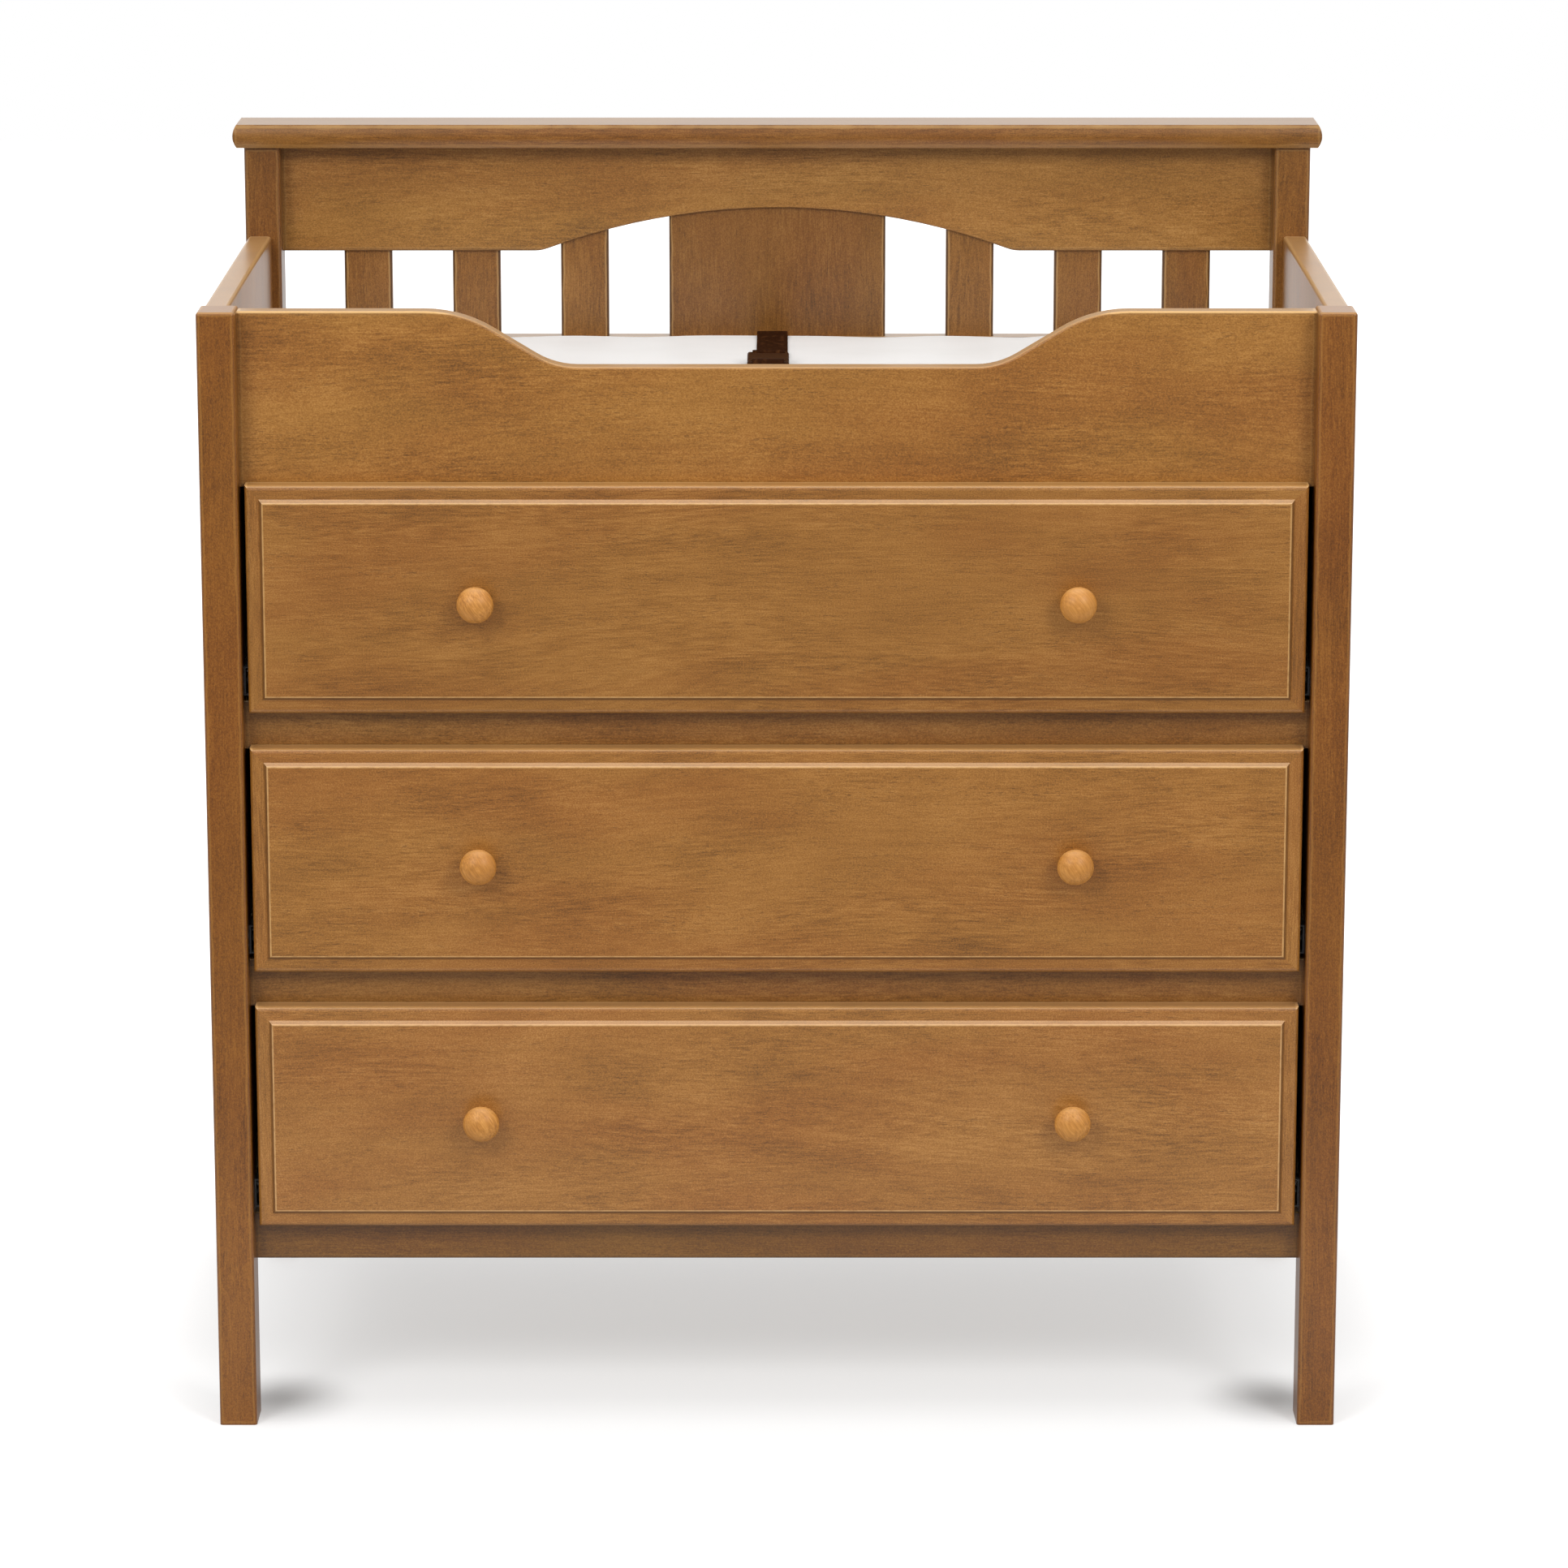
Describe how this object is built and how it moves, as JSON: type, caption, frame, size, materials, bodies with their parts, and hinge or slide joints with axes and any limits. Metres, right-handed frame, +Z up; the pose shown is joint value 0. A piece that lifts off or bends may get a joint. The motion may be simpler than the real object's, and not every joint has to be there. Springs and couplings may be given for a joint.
{
  "type": "changing dresser",
  "caption": "Stained wood dresser with drawers on roller slides under a railed changing tray that holds a belted pad, with a slatted arched back.",
  "frame": {"origin": "on the floor, under the middle of the whole object's box", "axes": "+X to the right seen from the front, +Y to the back, +Z up"},
  "size_m": [0.887, 0.503, 0.966],
  "materials": {
    "stained_wood": "satin chestnut-brown stain under clear lacquer",
    "knob_wood": "satin lacquer, lighter stain",
    "box_wood": "bare sanded softwood",
    "bottom_board": "thin plywood",
    "tray_board": "stained plywood",
    "back_board": "thin stained fibreboard",
    "slide_steel": "dark grey epoxy coat",
    "zinc_steel": "zinc plated",
    "roller_plastic": "moulded nylon",
    "pad_vinyl": "wipeable quilted vinyl, soft sheen",
    "belt_webbing": "woven dark brown webbing",
    "buckle_plastic": "moulded dark brown plastic"
  },
  "bodies": {
    "carcass": {"front_post_left": "stained_wood", "front_post_right": "stained_wood", "back_post_left": "stained_wood", "back_post_right": "stained_wood", "side_panel_left": "stained_wood", "side_panel_right": "stained_wood", "guard_panel": "stained_wood", "front_bottom_rail": "stained_wood", "lower_divider_rail": "stained_wood", "upper_divider_rail": "stained_wood", "arch_rail": "stained_wood", "cap_rail": "stained_wood", "back_tray_rail": "stained_wood", "back_bottom_rail": "stained_wood", "narrow_slats": "stained_wood", "centre_slat": "stained_wood", "back_panel": "back_board", "tray_floor": "tray_board", "tray_cleats": "box_wood", "slide_spacers": "box_wood", "fixed_slides": "slide_steel", "cam_locks": "zinc_steel", "cam_studs": "zinc_steel", "back_bolts": "zinc_steel", "barrel_nuts": "zinc_steel"},
    "bottom_drawer": {"bottom_drawer_front": "stained_wood", "bottom_drawer_side_left": "box_wood", "bottom_drawer_side_right": "box_wood", "bottom_drawer_back": "box_wood", "bottom_drawer_bottom": "bottom_board", "bottom_knobs": "knob_wood", "bottom_knob_screws": "zinc_steel", "bottom_drawer_slides": "slide_steel"},
    "bottom_fixed_rollers": {"bottom_fixed_rollers": "roller_plastic"},
    "bottom_drawer_rollers": {"bottom_drawer_rollers": "roller_plastic"},
    "middle_drawer": {"middle_drawer_front": "stained_wood", "middle_drawer_side_left": "box_wood", "middle_drawer_side_right": "box_wood", "middle_drawer_back": "box_wood", "middle_drawer_bottom": "bottom_board", "middle_knobs": "knob_wood", "middle_knob_screws": "zinc_steel", "middle_drawer_slides": "slide_steel"},
    "middle_fixed_rollers": {"middle_fixed_rollers": "roller_plastic"},
    "middle_drawer_rollers": {"middle_drawer_rollers": "roller_plastic"},
    "top_drawer": {"top_drawer_front": "stained_wood", "top_drawer_side_left": "box_wood", "top_drawer_side_right": "box_wood", "top_drawer_back": "box_wood", "top_drawer_bottom": "bottom_board", "top_knobs": "knob_wood", "top_knob_screws": "zinc_steel", "top_drawer_slides": "slide_steel"},
    "top_fixed_rollers": {"top_fixed_rollers": "roller_plastic"},
    "top_drawer_rollers": {"top_drawer_rollers": "roller_plastic"},
    "changing_pad": {"changing_pad": "pad_vinyl", "pad_belt": "belt_webbing", "buckle_socket": "buckle_plastic", "buckle_plug": "buckle_plastic"}
  },
  "joints": [
    {"name": "bottom_drawer_slide", "type": "slide", "parent": "carcass", "child": "bottom_drawer", "axis": [0, -1, 0], "range_m": [0, 0.3]},
    {"name": "bottom_fixed_roller_spin", "type": "hinge", "parent": "carcass", "child": "bottom_fixed_rollers", "pos_m": [0, -0.1925, 0.1815], "axis": [1, 0, 0], "range_deg": [0, 1980]},
    {"name": "bottom_drawer_roller_spin", "type": "hinge", "parent": "bottom_drawer", "child": "bottom_drawer_rollers", "pos_m": [0, 0.1805, 0.1815], "axis": [1, 0, 0], "range_deg": [0, 1980]},
    {"name": "middle_drawer_slide", "type": "slide", "parent": "carcass", "child": "middle_drawer", "axis": [0, -1, 0], "range_m": [0, 0.3]},
    {"name": "middle_fixed_roller_spin", "type": "hinge", "parent": "carcass", "child": "middle_fixed_rollers", "pos_m": [0, -0.1925, 0.385], "axis": [1, 0, 0], "range_deg": [0, 1980]},
    {"name": "middle_drawer_roller_spin", "type": "hinge", "parent": "middle_drawer", "child": "middle_drawer_rollers", "pos_m": [0, 0.1805, 0.385], "axis": [1, 0, 0], "range_deg": [0, 1980]},
    {"name": "top_drawer_slide", "type": "slide", "parent": "carcass", "child": "top_drawer", "axis": [0, -1, 0], "range_m": [0, 0.3]},
    {"name": "top_fixed_roller_spin", "type": "hinge", "parent": "carcass", "child": "top_fixed_rollers", "pos_m": [0, -0.1925, 0.5885], "axis": [1, 0, 0], "range_deg": [0, 1980]},
    {"name": "top_drawer_roller_spin", "type": "hinge", "parent": "top_drawer", "child": "top_drawer_rollers", "pos_m": [0, 0.1805, 0.5885], "axis": [1, 0, 0], "range_deg": [0, 1980]},
    {"name": "pad_lift", "type": "slide", "parent": "carcass", "child": "changing_pad", "axis": [0, 0, 1], "range_m": [0, 0.15]}
  ],
  "couplings": [
    {"joint": "bottom_fixed_roller_spin", "follows": "bottom_drawer_slide", "rad_per_m": 114.94},
    {"joint": "bottom_drawer_roller_spin", "follows": "bottom_drawer_slide", "rad_per_m": 114.94},
    {"joint": "middle_fixed_roller_spin", "follows": "middle_drawer_slide", "rad_per_m": 114.94},
    {"joint": "middle_drawer_roller_spin", "follows": "middle_drawer_slide", "rad_per_m": 114.94},
    {"joint": "top_fixed_roller_spin", "follows": "top_drawer_slide", "rad_per_m": 114.94},
    {"joint": "top_drawer_roller_spin", "follows": "top_drawer_slide", "rad_per_m": 114.94}
  ]
}
